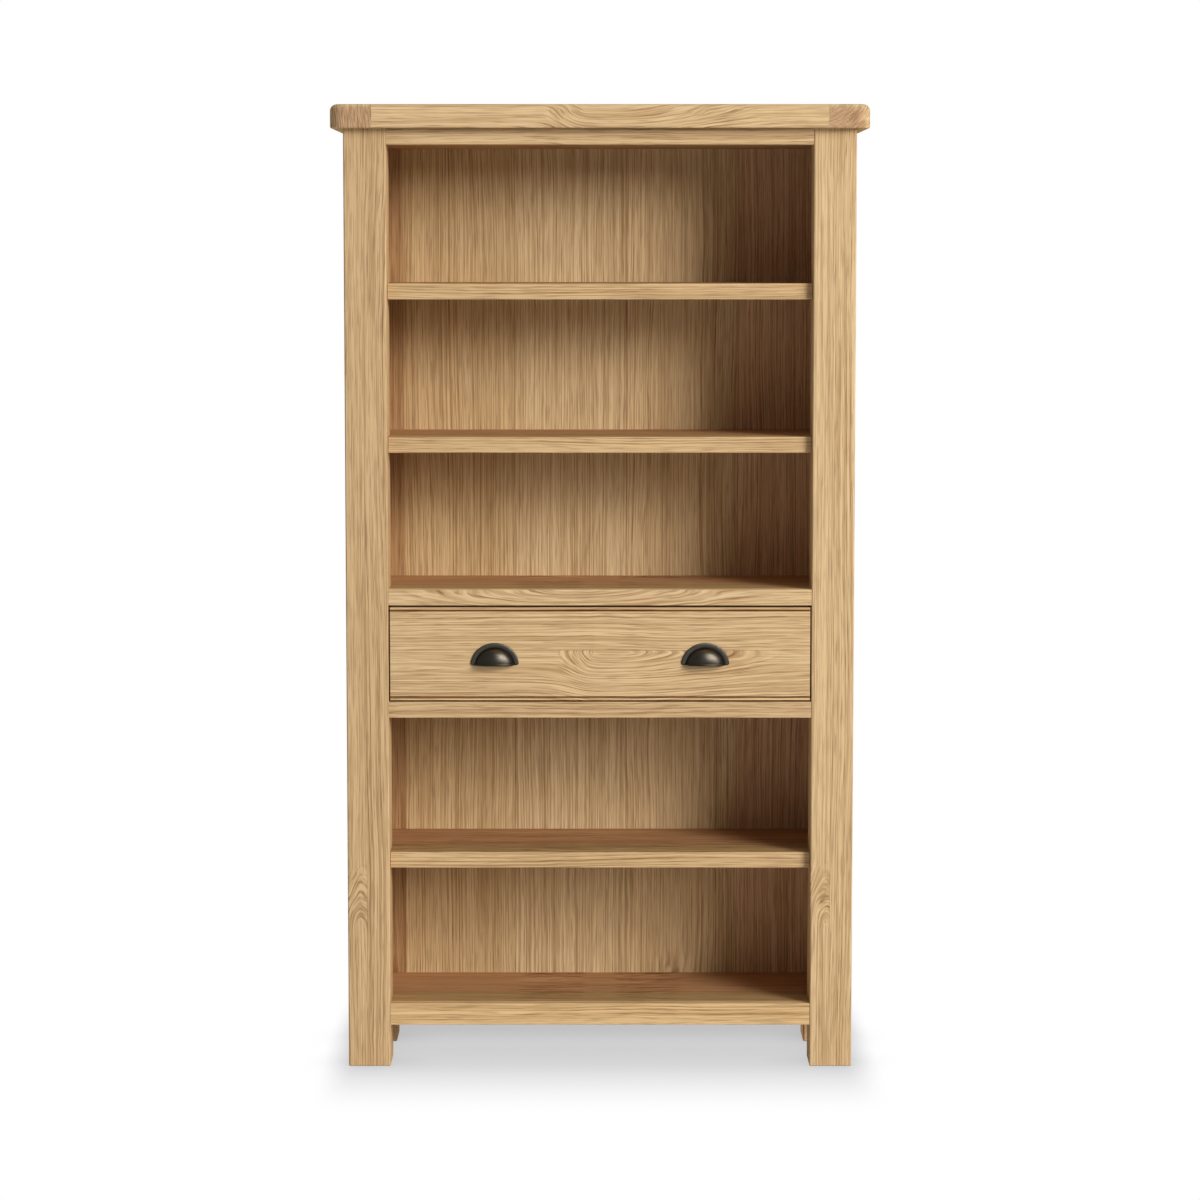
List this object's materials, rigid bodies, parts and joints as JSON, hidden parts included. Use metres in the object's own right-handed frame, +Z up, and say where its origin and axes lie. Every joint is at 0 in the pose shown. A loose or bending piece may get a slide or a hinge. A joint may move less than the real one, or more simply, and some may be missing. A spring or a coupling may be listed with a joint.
{
  "type": "bookcase",
  "caption": "Tall oak bookcase with open bays, a wide inset drawer with cup handles, square posts and a thick slab top.",
  "frame": {"origin": "on the floor, under the middle of the overall box", "axes": "+X to the right seen from the front, +Y from the front to the back, +Z up"},
  "size_m": [0.994, 0.3116, 1.8],
  "materials": {
    "oak_frame": "solid oak, satin clear lacquer",
    "oak_cross_grain": "solid oak with the grain running front to rear, satin clear lacquer",
    "oak_veneer": "oak veneer, satin clear lacquer",
    "drawer_box_wood": "pale planed hardwood, thin sealer",
    "dark_bronze": "dark antique bronze, satin",
    "zinc_steel": "bright zinc plate",
    "beech_dowel": "plain beech"
  },
  "bodies": {
    "carcase": {"top_board": "oak_frame", "top_end_left": "oak_cross_grain", "top_end_right": "oak_cross_grain", "front_post_left": "oak_frame", "front_post_right": "oak_frame", "rear_leg_left": "oak_frame", "rear_leg_right": "oak_frame", "side_panel_left": "oak_veneer", "side_panel_right": "oak_veneer", "side_top_rail_left": "oak_frame", "side_top_rail_right": "oak_frame", "side_bottom_rail_left": "oak_frame", "side_bottom_rail_right": "oak_frame", "bottom_rail": "oak_frame", "drawer_floor_rail": "oak_frame", "drawer_cover_rail": "oak_frame", "top_front_rail": "oak_frame", "top_rear_rail": "oak_frame", "bottom_deck": "oak_veneer", "drawer_floor_deck": "oak_veneer", "drawer_cover_deck": "oak_veneer", "ceiling_deck": "oak_veneer", "back_panel": "oak_veneer", "lower_shelf": "oak_frame", "middle_shelf": "oak_frame", "upper_shelf": "oak_frame", "lower_shelf_pins": "zinc_steel", "middle_shelf_pins": "zinc_steel", "upper_shelf_pins": "zinc_steel", "top_dowels": "beech_dowel", "back_screws": "zinc_steel", "drawer_runner_left": "drawer_box_wood", "drawer_runner_right": "drawer_box_wood", "drawer_guide_left": "drawer_box_wood", "drawer_guide_right": "drawer_box_wood", "drawer_kicker_left": "drawer_box_wood", "drawer_kicker_right": "drawer_box_wood", "drawer_stops": "drawer_box_wood"},
    "drawer": {"drawer_front": "oak_frame", "drawer_side_left": "drawer_box_wood", "drawer_side_right": "drawer_box_wood", "drawer_back": "drawer_box_wood", "drawer_bottom": "drawer_box_wood", "cup_handle_left": "dark_bronze", "cup_handle_right": "dark_bronze", "handle_screws": "zinc_steel"}
  },
  "joints": [
    {"name": "drawer_slide", "type": "slide", "parent": "carcase", "child": "drawer", "axis": [0, -1, 0], "range_m": [0, 0.19]}
  ]
}
